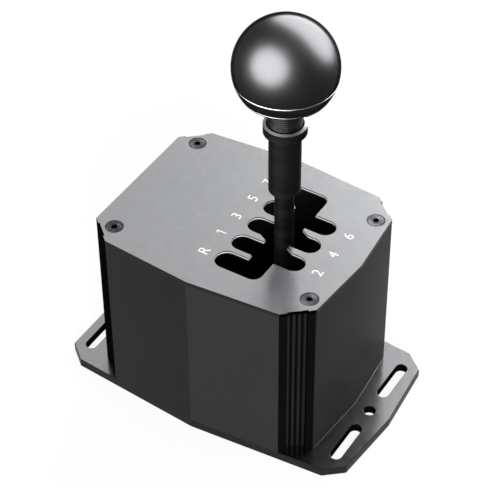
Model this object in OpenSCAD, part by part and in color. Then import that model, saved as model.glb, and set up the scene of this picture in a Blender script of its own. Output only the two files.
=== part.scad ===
// Sim racing gear shifter. A lever in a gimbal works an H-pattern gate, in a
// ribbed aluminium housing on a slotted base plate.
// +X is the driver's right, +Y points away from the driver and +Z is up. The
// origin is the middle of the mounting slots, on the underside of the base plate.

/* [Housing] */
// Width across the ridges of the two sides
body_w = 106; // [100:1:120]
// How far a side falls back from its ridge to its corner
side_fall = 4; // [1:0.5:7]
// From the middle to the corner, along a side
side_reach = 49.4; // [46:0.2:53]
// Width of each end between its corners
end_w = 74.4; // [70:0.4:80]
// From the middle to each end
end_reach = 62.9; // [60:0.1:68]
// How far the driver's end stands out at its ridge
driver_ridge = 3.1; // [0.5:0.1:6]
// Height of the housing
housing_h = 95; // [85:1:110]
// Wall of the housing
wall = 4; // [3:0.25:5]
// Wall behind each corner face, recess included
corner_wall = 6; // [5.2:0.1:8]
// Radius of the round screw ports inside the housing
port_r = 5.2; // [4.5:0.1:6]

/* [Corner ribs] */
// Width of the recess in each corner face
recess_w = 9.8; // [8.8:0.2:12]
// Depth of the recess
recess_d = 3; // [2:0.1:3.6]
// How far the rib tips lie below the corner face
rib_set = 0.7; // [0.3:0.1:1.4]
// Width of a rib
rib_w = 0.8; // [0.5:0.1:1.2]
// Distance from rib to rib
rib_pitch = 2.7; // [2.2:0.1:3]
// Number of ribs in a corner
rib_n = 3; // [1:1:3]

/* [Base plate] */
// Thickness of the base plate
base_t = 5; // [4:0.5:8]
// How far each flange reaches past the end of the housing
flange_l = 20.2; // [17:0.1:28]
// Length of the base plate's corner chamfer, along Y
base_corner = 9.7; // [6:0.1:12]
// Width of each end of the base plate between its corners
base_end_w = 77.8; // [74:0.2:84]
// From the end of the housing out to the row of mounting slots
slot_out = 11.9; // [8:0.1:13]
// From the middle to the centre of each slot, along X
slot_side = 24.7; // [23:0.1:26]
// Length of a mounting slot from end to end
slot_l = 26.2; // [18:0.2:27]
// Width of a mounting slot, and diameter of the hole between two
slot_d = 6.2; // [5:0.1:7]
// Length of the spigots that seat pieces in the base plate
spigot_l = 3; // [2:0.5:3.5]
// Diameter of the spigots under the spring cups
spigot_d = 4; // [3:0.5:5]

/* [Top plate and gate] */
// Thickness of the top plate
plate_t = 2; // [2:0.1:3]
// From the middle back to the neutral line of the gate
gate_back = 23; // [20:0.5:25]
// Distance between the inner columns of the gate
col_pitch = 15; // [14:0.1:16]
// Width of the inner columns
col_w = 11; // [10.8:0.1:11.4]
// From the middle to each outer column
outer_col = 29.5; // [29:0.1:31]
// Width of the outer columns, wider because the rod leans more there
outer_w = 12; // [11.6:0.1:12.4]
// Travel of the rod's centre from neutral to the end of a column
throw = 14.5; // [13:0.1:16]
// Width of the neutral channel
channel_w = 12; // [11.2:0.1:13]
// Corner radius of the neutral channel
channel_r = 5; // [2:0.5:5.5]
// Width of the slant that guides the rod across the gate
guide_x = 2.3; // [0.5:0.1:2.6]
// Length of that slant along a column
guide_y = 4.3; // [1:0.1:6]

/* [Screws] */
// Diameter of the screws that hold the top plate and the base plate
screw_d = 5; // [4:0.5:5]
// Diameter of their countersunk heads
head_d = 9.2; // [8.6:0.1:9.6]
// Height of their heads
head_h = 1.9; // [1.6:0.1:1.9]
// Size of their hex sockets across the flats
socket_af = 3; // [2.5:0.5:3.5]
// Length of those screws
screw_l = 16; // [10:1:25]
// From the end of the housing to the driver's screws
driver_screw_in = 6.65; // [6.4:0.05:8]
// From the end of the end face to the driver's screws, along X
driver_screw_side = 4.6; // [3:0.1:8]
// From the end of the housing to the far screws
far_screw_in = 11.4; // [10:0.1:13]
// From the end of the end face out to the far screws, along X
far_screw_out = 0.6; // [-2:0.1:0.8]
// Diameter of the screws that hold the stands and the control board
small_d = 3; // [2.5:0.5:3]
// Diameter of the screws that hold the cam, the leaf and the sensor boards
tiny_d = 2.5; // [2:0.5:2.5]
// Diameter of the grub screws
grub_d = 4; // [3:0.5:4]

/* [Lever] */
// Diameter of the rod
rod_d = 9.7; // [9:0.1:10]
// Length of rod that shows between the top plate and the sleeve
rod_show = 29.6; // [24:0.1:40]
// Diameter of the sleeve
sleeve_d = 15.7; // [14:0.1:17]
// Length of the sleeve
sleeve_l = 35.1; // [30:0.1:50]
// Thickness of metal between the sleeve's bore and its threaded end
sleeve_roof = 1.6; // [1:0.1:3]
// Diameter of the threaded end inside the collar and the neck
stud_d = 12; // [11:0.5:13]
// Length of that threaded end
stud_l = 22; // [12:1:22]
// Diameter of the collar
collar_d = 21.1; // [19.5:0.1:24]
// Height of the collar
collar_h = 5.3; // [4:0.1:8]
// Width of the collar's bright rim
rim_w = 1.6; // [0.6:0.1:1.7]
// Height of the rim's slope
rim_h = 0.5; // [0.2:0.1:1]
// Depth of the seat for the neck in the collar
neck_seat = 1.2; // [0.8:0.1:2]
// Diameter of the neck
neck_d = 16.8; // [15.4:0.1:17]
// Length of neck that shows between the collar and the knob
neck_l = 17.6; // [14:0.1:24]

/* [Knob] */
// Diameter of the ball
ball_d = 50; // [44:1:56]
// From the middle of the ball down to its flat underside
knob_flat = 14; // [13:0.1:16]
// From the middle of the ball down to the top of the band
band_top = 5.4; // [3:0.1:8]
// From the middle of the ball down to the bottom of the band
band_bottom = 12.4; // [10:0.1:12.6]
// Size of the bright cut edge on the band and the base ring
edge_cut = 0.6; // [0.3:0.1:0.9]
// Diameter of the neck's end inside the knob
core_d = 14; // [13.2:0.1:16]
// Length of the neck's end inside the knob
core_l = 17; // [15:0.5:25]

/* [Gimbal] */
// Height of the pivot above the underside of the base plate
pivot_z = 30; // [28:0.5:34]
// Diameter of the shafts and the cross pin
shaft_d = 8; // [6:0.5:8]
// Outer diameter of the bushes
bush_d = 12; // [11:0.5:13]
// Diameter of a bush's flange
flange_d = 14; // [13.5:0.5:16]
// Thickness of a bush's flange
flange_t = 1.2; // [0.8:0.1:1.5]
// Height of the select frame
frame_h = 18; // [16:0.5:19]
// Width of the select frame
frame_w = 38; // [36:0.5:42]
// Thickness of its side rails
rail_t = 6.5; // [5.5:0.1:8]
// Thickness of its end bars
bar_t = 6; // [5.5:0.1:7]
// Corner chamfer of the frame
frame_c = 3; // [1:0.5:4]
// How far the ends of the shafts stand past the faces beside them
shaft_proud = 0.5; // [0.3:0.1:0.8]
// Thickness of the pivot stands
stand_t = 7; // [6:0.5:8]
// Width of the pivot stands at the foot
stand_w = 36; // [32:1:40]
// Height of the straight part of a stand's foot
stand_foot = 6; // [4:0.5:10]
// Radius of a stand round its bush
stand_r = 10; // [9:0.5:11]
// From the stand's middle to each of its screws
stand_screw_x = 12; // [9:0.5:13]
// Gap between the rear stand and the housing
stand_clear = 0.4; // [0.3:0.1:2]

/* [Hub and detent] */
// Depth of the hub along Y
hub_l = 20; // [19:0.5:22]
// Height of the hub's block
hub_h = 20; // [19:0.5:21]
// Diameter of the hub's boss round the rod
boss_d = 17; // [16:0.5:19]
// Height of the boss above the pivot
boss_top = 20; // [18:0.5:24]
// Length of rod held in the hub
rod_seat = 13; // [9:0.5:14]
// From the boss's top down to its grub screw
rod_grub_in = 3.5; // [3:0.1:4]
// Thickness of the cam
cam_t = 5; // [4:0.5:6]
// Radius of the cam's round body
cam_r = 10; // [9.8:0.1:10.4]
// Half angle of the cam's toothed part
cam_half = 30; // [26:1:36]
// From the cam's middle to each of its screws
cam_screw = 7.2; // [7:0.1:7.4]
// Radius of the detent's nose
nose_r = 1.3; // [1:0.1:1.4]
// Thickness of the detent leaf
leaf_t = 0.6; // [0.4:0.1:0.8]
// Width of the detent leaf
leaf_w = 6; // [5:0.5:6.5]
// Room behind the leaf for it to bend
leaf_room = 2; // [1.6:0.1:2.5]
// Length of the leaf below the pivot
leaf_tail = 4; // [3:0.5:6]
// Length of the leaf's foot along the frame's end bar
leaf_foot = 11.5; // [10.5:0.5:12]
// Distance between the leaf's two screws
leaf_pitch = 5.5; // [5:0.1:5.6]

/* [Springs] */
// Mean diameter of a centring spring
spring_d = 6.2; // [5.8:0.1:6.6]
// Diameter of its wire
wire_d = 1; // [0.8:0.1:1.1]
// Number of its turns
spring_n = 7; // [5:1:8]
// Diameter of a spring cup
cup_d = 11; // [10.5:0.5:13]
// Height of a spring cup
cup_h = 4; // [3:0.5:6]
// Thickness of the cup's floor
cup_floor = 1.5; // [1:0.1:2]
// Height of the bosses that hold the springs' upper ends
spring_boss = 2.5; // [1.5:0.1:3]

/* [Electronics] */
// Thickness of the circuit boards
board_t = 1.6; // [1:0.2:2]
// Length of a sensor board
sensor_l = 22; // [20:1:24]
// Width of a sensor board
sensor_w = 12; // [11:0.5:14]
// From a sensor board's middle to each screw
sensor_screw = 8; // [7.5:0.1:8.4]
// Diameter of the posts that carry the sensor boards
post_d = 5; // [4.5:0.1:5.5]
// Diameter of the magnets
magnet_d = 6; // [5:0.5:7]
// Thickness of the magnets
magnet_t = 2.5; // [2:0.1:3]
// Gap between a magnet and its sensor
sense_gap = 0.5; // [0.4:0.1:1]
// Thickness of a sensor chip
chip_t = 1; // [0.8:0.1:1.2]
// Width of a sensor chip
chip_w = 4; // [3:0.5:5]
// Width of the control board
board_w = 56; // [50:1:60]
// Length of the control board
board_l = 31; // [30:0.5:33]
// Height of the standoffs
standoff_h = 8; // [6:0.5:12]
// Diameter of the standoffs
standoff_d = 6; // [5:0.5:7]
// From the control board's edges to its screws
board_screw_in = 3.5; // [3.2:0.1:5]
// Width of the data socket
jack_w = 15.2; // [14:0.2:17]
// Height of the data socket
jack_h = 12.4; // [12:0.2:14]
// Length of the data socket
jack_l = 15; // [13:0.5:18]
// Width of its mouth
mouth_w = 11.8; // [11:0.1:12]
// Height of its mouth
mouth_h = 8; // [7.6:0.1:8.4]
// Depth of its mouth
mouth_l = 11; // [9:0.5:12]
// Thickness of its roof
jack_roof = 2; // [1.2:0.1:2.4]
// Depth of the groove for the plug's latch
latch_h = 1.2; // [0.8:0.1:1.4]
// Number of contacts in the socket
contact_n = 6; // [4:1:6]
// Distance from contact to contact
contact_pitch = 1.3; // [1:0.1:1.5]
// Diameter of the leads
lead_d = 2.2; // [1.6:0.1:2.6]

/* [Fits] */
// Radial gap of a running shaft
run_gap = 0.03; // [0.02:0.01:0.08]
// Radial gap of a seated piece
seat_gap = 0.02; // [0.01:0.01:0.05]
// Radial gap of a screw in its thread
thread_gap = 0.05; // [0.03:0.01:0.1]
// Radial gap of a screw in a clearance hole
hole_gap = 0.2; // [0.1:0.05:0.3]
// Gap between faces that move past each other
side_play = 0.3; // [0.2:0.05:0.4]

/* [Hidden] */
$fn = 64;
eps = 0.01;
past = 1;                           // how far a cut runs past a face
bite = 4;                           // length of thread in a tapped hole
tap = 6;                            // depth of a tapped hole
grub_socket = 1.5;                  // depth of a grub screw's socket
rod_c = 0.8;                        // chamfer of the rod's ends
sleeve_c = 0.4;                     // chamfer of the sleeve's lower end
contact_t = 0.5;                    // thickness of a contact

// Screw heads, from the diameter of the thread
function sunk_d(d) = 1.8 * d;
function sunk_h(d) = 0.45 * d;
function round_d(d) = 1.7 * d;
function round_h(d) = 0.65 * d;
function hex_af(d) = 0.6 * d;

// Outline of the housing
corner_x = body_w / 2 - side_fall;
function side_x(y) = body_w / 2 - side_fall * y / side_reach;
body_half = [[side_x(0), 0], [corner_x, side_reach], [end_w / 2, end_reach]];
function outline(half, ridge) = concat(
    [for (q = half) q], [for (i = [len(half) - 1 : -1 : 1]) [-half[i].x, half[i].y]],
    [for (q = half) [-q.x, -q.y]], [[0, -half[len(half) - 1].y - ridge]],
    [for (i = [len(half) - 1 : -1 : 1]) [half[i].x, -half[i].y]]);

// Corner faces
corner_a = [corner_x, side_reach];
corner_b = [end_w / 2, end_reach];
corner_mid = (corner_a + corner_b) / 2;
corner_turn = atan2(corner_b.y - corner_a.y, corner_b.x - corner_a.x);
corner_l = norm(corner_b - corner_a);

// Outline of the base plate, whose sides carry on those of the housing
base_reach = end_reach + flange_l;
slot_reach = end_reach + slot_out;
base_half = [[side_x(0), 0], [side_x(base_reach - base_corner), base_reach - base_corner],
    [base_end_w / 2, base_reach]];

// Levels
plate_z = base_t + housing_h;
top_z = plate_z + plate_t;
gate_y = -gate_back;
sleeve_z = top_z + rod_show;
collar_z = sleeve_z + sleeve_l;
collar_top = collar_z + collar_h;
knob_z = collar_top + neck_l;
ball_z = knob_z + knob_flat;
ball_r = ball_d / 2;

// Screw places in the housing
port_xy = [[end_w / 2 - driver_screw_side, driver_screw_in - end_reach],
    [end_w / 2 + far_screw_out, end_reach - far_screw_in]];

// Gimbal, measured from the pivot
shaft_r = shaft_d / 2;
bush_r = bush_d / 2;
stand_out = end_reach - wall - stand_clear - gate_back;
stand_in = stand_out - stand_t;
frame_l = 2 * (stand_in - flange_t - side_play);
frame_in_x = frame_w / 2 - rail_t;
frame_in_y = frame_l / 2 - bar_t;
hub_x = frame_in_x - flange_t - side_play;
cam_x = hub_x - cam_t;
spring_x = frame_w / 2 - rail_t / 2;
spring_low = base_t + cup_floor;
spring_top = pivot_z - frame_h / 2;

// Lever angles at the ends of its travel, from the rod's place in the plate
arm = top_z - plate_t / 2 - pivot_z;
select_lean = atan(col_pitch / arm);
shift_lean = atan(throw * cos(select_lean) / arm);

// Detent, measured from the pivot
leaf_y = frame_in_y - leaf_room - leaf_t;
leaf_x = cam_x + cam_t / 2;
leaf_screw_x = [leaf_x, leaf_x + leaf_pitch];
nose_y = leaf_y - nose_r / 3;
notch_r = nose_r + side_play;
cam_reach = nose_y - side_play;
rod_grub_z = boss_top - rod_grub_in;

// Sensor boards, measured from the pivot
pin_end = frame_w / 2 + 2 * shaft_proud;
trunnion_end = stand_out + shaft_proud;
shift_board_x = pin_end + magnet_t + sense_gap + chip_t;
select_board_y = trunnion_end + magnet_t + sense_gap + chip_t;
header = [8, 4, 5];                 // width, height over the board and depth of a lead's plug
header_in = 0.5;                    // from the edge of a sensor board to its plug

// Control board and socket
board_gap = 1.9;                    // from the board to the wall by the socket
board_y1 = end_reach - wall - board_gap;
board_y0 = board_y1 - board_l;
board_z = base_t + standoff_h;
board_top = board_z + board_t;
board_screw_x = board_w / 2 - board_screw_in;
header_y = board_y0 + header.z / 2 + 1.5;
shift_header_x = -17;
jack_y1 = end_reach - side_play;
mouth_z = board_top + jack_h - jack_roof - mouth_h;
main_chip = [9, 9, 1.2];
main_chip_side = 10;
main_chip_in = 8;                   // from the edge of the board by the plugs to the chips
small_chip_in = 13;
main_chip_at = [main_chip_side, board_y0 + main_chip_in];
small_chip = [5, 4, 1.6];
small_chip_at = [shift_header_x, board_y0 + small_chip_in];

// Leads: each a smooth curve from a sensor board's plug to one on the control board
lead_n = 14;
function curve(a, b, c, d) = [for (i = [0 : lead_n]) let (t = i / lead_n, u = 1 - t)
    u * u * u * a + 3 * u * u * t * b + 3 * u * t * t * c + t * t * t * d];
plug_z = pivot_z - sensor_w / 2 + header_in + header.z / 2;
select_from = [0, gate_y + select_board_y + board_t + header.y + hole_gap, plug_z];
select_to = [0, header_y, board_top + header.y + hole_gap];
select_route = curve(select_from, [0, select_to.y, plug_z], [0, select_to.y, plug_z], select_to);
shift_from = [-shift_board_x - board_t - header.y - hole_gap, gate_y, plug_z];
shift_to = [shift_header_x, header_y, board_top + header.y + hole_gap];
lead_out = 22;                      // how far the lead keeps on out of one plug
lead_rise = 27;                     // and how far up over the other
shift_route = curve(shift_from, shift_from - [lead_out, 0, 0], shift_to + [0, 0, lead_rise], shift_to);

// A closed tube round a list of points; up is never along the route
function unit(v) = v / norm(v);
function tube_ring(p, t, up, r, n) =
    let (a = unit(cross(t, up)), b = cross(a, t))
    [for (k = [0 : n - 1]) p + r * (cos(360 * k / n) * a + sin(360 * k / n) * b)];
function tangent(p, i) = unit(p[min(i + 1, len(p) - 1)] - p[max(i - 1, 0)]);
module tube(p, up, r, n) {
    m = len(p);
    pts = [for (i = [0 : m - 1]) each tube_ring(p[i], tangent(p, i), up, r, n)];
    sides = [for (i = [0 : m - 2], k = [0 : n - 1])
        [i * n + k, i * n + (k + 1) % n, (i + 1) * n + (k + 1) % n, (i + 1) * n + k]];
    polyhedron(pts, concat(sides, [[for (k = [n - 1 : -1 : 0]) k]],
        [[for (k = [0 : n - 1]) (m - 1) * n + k]]));
}

// A compression spring standing on z = 0, as one unbroken wire
module coil_spring(mean_d, wire, turns, h, ring_n = 10, n = 6) {
    rise = h - wire;
    steps = turns * ring_n;
    function at(s) = [mean_d / 2 * cos(360 * s), mean_d / 2 * sin(360 * s),
        wire / 2 + rise * s / turns];
    tube([for (i = [0 : steps]) at(i / ring_n)], [0, 0, 1], wire / 2, n);
}

// A countersunk screw whose head is level with z = 0 and whose thread points down
module sunk_screw(d, l, hd, hh, af) {
    difference() {
        union() {
            translate([0, 0, -hh]) cylinder(d1 = d, d2 = hd, h = hh);
            translate([0, 0, -l]) cylinder(d = d, h = l - hh + eps);
        }
        translate([0, 0, -hh]) cylinder(d = af / cos(30), h = hh + past, $fn = 6);
    }
}

// The hole for one, from z = 0 down through a plate
module sunk_hole(d, hd, hh, t) {
    translate([0, 0, -hh]) cylinder(d1 = d + 2 * thread_gap, d2 = hd + 2 * thread_gap, h = hh);
    translate([0, 0, -eps]) cylinder(d = hd + 2 * thread_gap, h = past);
    translate([0, 0, -t - past]) cylinder(d = d + 2 * hole_gap, h = t + past - hh + eps);
}

// A round-headed screw seated on z = 0, with its thread pointing down
module round_screw(d, l) {
    hd = round_d(d);
    ht = round_h(d);
    difference() {
        union() {
            cylinder(d = hd, h = ht);
            translate([0, 0, -l]) cylinder(d = d, h = l + eps);
        }
        translate([0, 0, ht / 2]) cylinder(d = hex_af(d), h = ht, $fn = 6);
    }
}

// A grub screw that ends on z = 0 and points down, with its socket on top
module grub(d, l) {
    difference() {
        cylinder(d = d, h = l);
        translate([0, 0, l - grub_socket]) cylinder(d = d / 2, h = grub_socket + past, $fn = 6);
    }
}

module at_pivot() { translate([0, gate_y, pivot_z]) children(); }
module along_x() { rotate([90, 0, 90]) children(); }
module along_y() { rotate([-90, 0, 0]) children(); }
module at_sides() { for (s = [-1, 1]) scale_x(s) children(); }
module scale_x(s) { mirror([s < 0 ? 1 : 0, 0, 0]) children(); }
module at_corners() {
    for (u = [0, 1], v = [0, 1])
        mirror([u, 0, 0]) mirror([0, v, 0])
            translate(corner_mid) rotate(corner_turn) children();
}
module at_ports(z = 0) {
    for (p = port_xy, s = [-1, 1]) translate([s * p.x, p.y, z]) children();
}
module at_base_slots() {
    for (v = [-1, 1], s = [-1, 1]) translate([s * slot_side, v * slot_reach, 0]) children();
}
module at_stand_screws() {
    for (y = [stand_in + stand_t / 2, -stand_in - stand_t / 2], s = [-1, 1])
        translate([s * stand_screw_x, gate_y + y, 0]) children();
}
module at_board_screws(z = 0) {
    for (y = [board_y0 + board_screw_in, board_y1 - board_screw_in], s = [-1, 1])
        translate([s * board_screw_x, y, z]) children();
}

module body_2d() { polygon(outline(body_half, driver_ridge)); }

// Section of the housing: walls, thick corners with ribs, and round screw ports
module recess_2d() {
    difference() {
        translate([-recess_w / 2, -past]) square([recess_w, past + recess_d]);
        for (i = [0 : rib_n - 1])
            translate([(i - (rib_n - 1) / 2) * rib_pitch - rib_w / 2, rib_set])
                square([rib_w, recess_d]);
    }
}
module cavity_2d() {
    difference() {
        offset(delta = -wall) body_2d();
        at_corners()
            translate([-corner_l / 2 - wall, -past]) square([corner_l + 2 * wall, corner_wall + past]);
        for (p = port_xy, s = [-1, 1]) translate([s * p.x, p.y]) circle(r = port_r);
    }
}
module housing() {
    color([0.2, 0.2, 0.21])
    difference() {
        translate([0, 0, base_t]) linear_extrude(housing_h) difference() {
            body_2d();
            cavity_2d();
            at_corners() recess_2d();
        }
        at_ports(base_t - past) cylinder(d = screw_d + 2 * thread_gap, h = housing_h + 2 * past);
        translate([-jack_w / 2 - side_play, end_reach - wall - past, board_top - side_play])
            cube([jack_w + 2 * side_play, wall + 2 * past, jack_h + 2 * side_play]);
    }
}

// Base plate, with countersinks from below for the housing and the stands
module base_plate() {
    color([0.24, 0.24, 0.25])
    difference() {
        linear_extrude(base_t) polygon(outline(base_half, driver_ridge * base_end_w / end_w));
        at_base_slots() slot_hole();
        for (v = [-1, 1])
            translate([0, v * slot_reach, -past]) cylinder(d = slot_d, h = base_t + 2 * past);
        at_ports() mirror([0, 0, 1]) sunk_hole(screw_d, head_d, head_h, base_t);
        at_stand_screws() mirror([0, 0, 1])
            sunk_hole(small_d, sunk_d(small_d), sunk_h(small_d), base_t);
        at_board_screws(base_t - spigot_l - hole_gap)
            cylinder(d = small_d + 2 * thread_gap, h = spigot_l + past);
        at_sides() translate([spring_x, gate_y, base_t - spigot_l - hole_gap])
            cylinder(d = spigot_d + 2 * seat_gap, h = spigot_l + past);
    }
}
module slot_hole() {
    straight = slot_l - slot_d;
    translate([0, 0, -past]) {
        for (s = [-1, 1]) translate([s * straight / 2, 0, 0]) cylinder(d = slot_d, h = base_t + 2 * past);
        translate([-straight / 2, -slot_d / 2, 0]) cube([straight, slot_d, base_t + 2 * past]);
    }
}

// Gate: a neutral channel with columns for R, 1 to 6 and 7
module column_2d(x, w, low, high) {
    translate([x - w / 2, gate_y + low]) square([w, high - low]);
    if (high > 0) translate([x, gate_y + high]) circle(d = w);
    if (low < 0) translate([x, gate_y + low]) circle(d = w);
}
module channel_2d() {
    reach = outer_col + outer_w / 2;
    low = gate_y - channel_w / 2;
    translate([-reach, low + channel_r]) square([2 * reach, channel_w - channel_r]);
    translate([channel_r - reach, low]) square([2 * (reach - channel_r), channel_w]);
    for (s = [-1, 1]) translate([s * (reach - channel_r), low + channel_r]) circle(r = channel_r);
}
// A slant that opens one corner of a tongue at x; side and way point into the tongue
module guide_2d(x, side, way) {
    tip = gate_y + way * channel_w / 2;
    polygon([[x - side * eps, tip - way * past], [x + side * guide_x, tip - way * past],
        [x + side * guide_x, tip], [x - side * eps, tip + way * guide_y]]);
}
module gate_2d() {
    channel_2d();
    for (s = [-1, 1]) column_2d(s * outer_col, outer_w, 0, throw);
    for (i = [-1 : 1]) column_2d(i * col_pitch, col_w, -throw, throw);
    for (x = [-col_w / 2, col_pitch - col_w / 2]) guide_2d(x, -1, 1);
    guide_2d(outer_col - outer_w / 2, -1, 1);
    for (x = [col_w / 2, col_w / 2 - col_pitch]) guide_2d(x, 1, -1);
}
module top_plate() {
    color([0.72, 0.73, 0.74])
    difference() {
        translate([0, 0, plate_z]) linear_extrude(plate_t) difference() {
            body_2d();
            at_corners() translate([-recess_w / 2, -past]) square([recess_w, past + rib_set]);
            gate_2d();
        }
        at_ports(top_z) sunk_hole(screw_d, head_d, head_h, plate_t);
    }
}
module top_screws() {
    color([0.35, 0.35, 0.39]) at_ports(top_z) sunk_screw(screw_d, screw_l, head_d, head_h, socket_af);
}
module base_screws() {
    color([0.2, 0.2, 0.22])
        at_ports() mirror([0, 0, 1]) sunk_screw(screw_d, screw_l, head_d, head_h, socket_af);
}

// Pivot stands, with the bushes that carry the select frame
module stand(y0) {
    difference() {
        translate([0, gate_y + y0 + stand_t, pivot_z]) rotate([90, 0, 0]) linear_extrude(stand_t) {
            circle(r = stand_r);
            polygon([[-stand_w / 2, base_t - pivot_z], [stand_w / 2, base_t - pivot_z],
                [stand_w / 2, base_t + stand_foot - pivot_z], [stand_r, 0], [-stand_r, 0],
                [-stand_w / 2, base_t + stand_foot - pivot_z]]);
        }
        translate([0, gate_y + y0 - past, pivot_z])
            along_y() cylinder(r = bush_r + seat_gap, h = stand_t + 2 * past);
        for (s = [-1, 1]) translate([s * stand_screw_x, gate_y + y0 + stand_t / 2, base_t - past])
            cylinder(d = small_d + 2 * thread_gap, h = stand_foot + past);
    }
}
module rear_stand() { color([0.62, 0.63, 0.65]) stand(-stand_out); }
module front_stand() {
    color([0.62, 0.63, 0.65])
    difference() {
        union() {
            stand(stand_in);
            for (s = [-1, 1]) translate([s * sensor_screw, gate_y + stand_out - eps, pivot_z])
                along_y() cylinder(d = post_d, h = select_board_y - stand_out + eps);
        }
        for (s = [-1, 1]) translate([s * sensor_screw, gate_y + select_board_y - tap, pivot_z])
            along_y() cylinder(d = tiny_d + 2 * thread_gap, h = tap + past);
        translate([0, gate_y + stand_in - past, pivot_z])
            along_y() cylinder(r = bush_r + seat_gap, h = stand_t + past + side_play);
    }
}
module stand_screws() {
    color([0.2, 0.2, 0.22]) at_stand_screws() mirror([0, 0, 1])
        sunk_screw(small_d, base_t + bite, sunk_d(small_d), sunk_h(small_d), hex_af(small_d));
}

// A flanged bush on +Z, its flange from 0 to flange_t and its body above that
module bush(body_l) {
    difference() {
        union() {
            cylinder(d = flange_d, h = flange_t);
            cylinder(r = bush_r, h = flange_t + body_l);
        }
        translate([0, 0, -past]) cylinder(r = shaft_r + run_gap, h = flange_t + body_l + 2 * past);
    }
}
module rear_bush() {
    color([0.72, 0.55, 0.28])
        at_pivot() translate([0, flange_t - stand_in, 0]) rotate([90, 0, 0]) bush(stand_t);
}
module front_bush() {
    color([0.72, 0.55, 0.28])
        at_pivot() translate([0, stand_in - flange_t, 0]) along_y() bush(stand_t);
}

// Centring springs between the base plate and the rails of the frame
module spring_cup(s) {
    translate([s * spring_x, gate_y, base_t]) {
        difference() {
            cylinder(d = cup_d, h = cup_h);
            translate([0, 0, cup_floor]) cylinder(d = spring_d + wire_d + 2 * side_play, h = cup_h);
        }
        translate([0, 0, -spigot_l]) cylinder(d = spigot_d, h = spigot_l + eps);
    }
}
module left_spring_cup() { color([0.15, 0.15, 0.16]) spring_cup(-1); }
module right_spring_cup() { color([0.15, 0.15, 0.16]) spring_cup(1); }
module centring_spring(s) {
    translate([s * spring_x, gate_y, spring_low + seat_gap])
        coil_spring(spring_d, wire_d, spring_n, spring_top - spring_low - side_play);
}
module left_spring() { color([0.6, 0.6, 0.62]) centring_spring(-1); }
module right_spring() { color([0.6, 0.6, 0.62]) centring_spring(1); }

// Select frame: a ring round the hub, with bosses for the springs and the shift board
module select_frame() {
    color([0.5, 0.51, 0.53])
    at_pivot() difference() {
        union() {
            translate([0, 0, -frame_h / 2]) linear_extrude(frame_h) difference() {
                polygon([for (q = [[1, 1], [-1, 1], [-1, -1], [1, -1]])
                    each q.x * q.y > 0
                        ? [[q.x * frame_w / 2, q.y * (frame_l / 2 - frame_c)],
                           [q.x * (frame_w / 2 - frame_c), q.y * frame_l / 2]]
                        : [[q.x * (frame_w / 2 - frame_c), q.y * frame_l / 2],
                           [q.x * frame_w / 2, q.y * (frame_l / 2 - frame_c)]]]);
                square([2 * frame_in_x, 2 * frame_in_y], center = true);
            }
            for (s = [-1, 1]) translate([s * spring_x, 0, -frame_h / 2 - spring_boss])
                cylinder(d = spring_d - wire_d - 2 * side_play, h = spring_boss + eps);
            for (v = [-1, 1]) translate([-shift_board_x, v * sensor_screw, 0])
                along_x() cylinder(d = post_d, h = shift_board_x - frame_w / 2 + eps);
        }
        translate([-frame_w / 2 - past, 0, 0])
            along_x() cylinder(r = bush_r + seat_gap, h = frame_w + 2 * past);
        translate([0, -frame_l / 2 - past, 0])
            along_y() cylinder(r = shaft_r + seat_gap, h = frame_l + 2 * past);
        for (v = [-1, 1]) translate([0, v * (frame_l / 2 - bar_t / 2), 0])
            cylinder(d = grub_d + 2 * thread_gap, h = frame_h);
        for (x = leaf_screw_x) translate([x, frame_l / 2 - bar_t / 2, frame_h / 2 - tap])
            cylinder(d = tiny_d + 2 * thread_gap, h = tap + past);
        for (v = [-1, 1]) translate([-shift_board_x - past, v * sensor_screw, 0])
            along_x() cylinder(d = tiny_d + 2 * thread_gap, h = tap + past);
    }
}
module rear_trunnion() {
    color([0.75, 0.75, 0.77])
        at_pivot() translate([0, -stand_out, 0])
            along_y() cylinder(r = shaft_r, h = stand_out - frame_in_y - shaft_proud);
}
module front_trunnion() {
    color([0.75, 0.75, 0.77])
        at_pivot() translate([0, frame_in_y + shaft_proud, 0])
            along_y() cylinder(r = shaft_r, h = trunnion_end - frame_in_y - shaft_proud);
}
module trunnion_grubs() {
    color([0.2, 0.2, 0.22]) at_pivot() for (v = [-1, 1])
        translate([0, v * (frame_l / 2 - bar_t / 2), shaft_r + seat_gap])
            grub(grub_d, frame_h / 2 - shaft_r - shaft_proud);
}
module left_cross_bush() {
    color([0.72, 0.55, 0.28])
        at_pivot() translate([flange_t - frame_in_x, 0, 0]) rotate([0, -90, 0]) bush(rail_t);
}
module right_cross_bush() {
    color([0.72, 0.55, 0.28])
        at_pivot() translate([frame_in_x - flange_t, 0, 0]) along_x() bush(rail_t);
}
module select_magnet() {
    color([0.8, 0.8, 0.82])
        at_pivot() translate([0, trunnion_end, 0]) along_y() cylinder(d = magnet_d, h = magnet_t);
}

// Detent leaf: a foot on the end bar, a strip that hangs down and a formed nose
module detent_leaf() {
    color([0.66, 0.67, 0.7])
    at_pivot() difference() {
        union() {
            translate([leaf_x - leaf_w / 2, leaf_y, -leaf_tail])
                cube([leaf_w, leaf_t, frame_h / 2 + leaf_t + leaf_tail]);
            translate([leaf_x - leaf_w / 2, leaf_y, frame_h / 2])
                cube([leaf_foot, frame_l / 2 - leaf_y, leaf_t]);
            translate([leaf_x - leaf_w / 2, nose_y, 0]) along_x() cylinder(r = nose_r, h = leaf_w);
        }
        for (x = leaf_screw_x) translate([x, frame_l / 2 - bar_t / 2, frame_h / 2 - past])
            cylinder(d = tiny_d + 2 * hole_gap, h = leaf_t + 2 * past);
    }
}
module leaf_screws() {
    color([0.2, 0.2, 0.22]) at_pivot() for (x = leaf_screw_x)
        translate([x, frame_l / 2 - bar_t / 2, frame_h / 2 + leaf_t])
            round_screw(tiny_d, leaf_t + bite);
}

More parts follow.
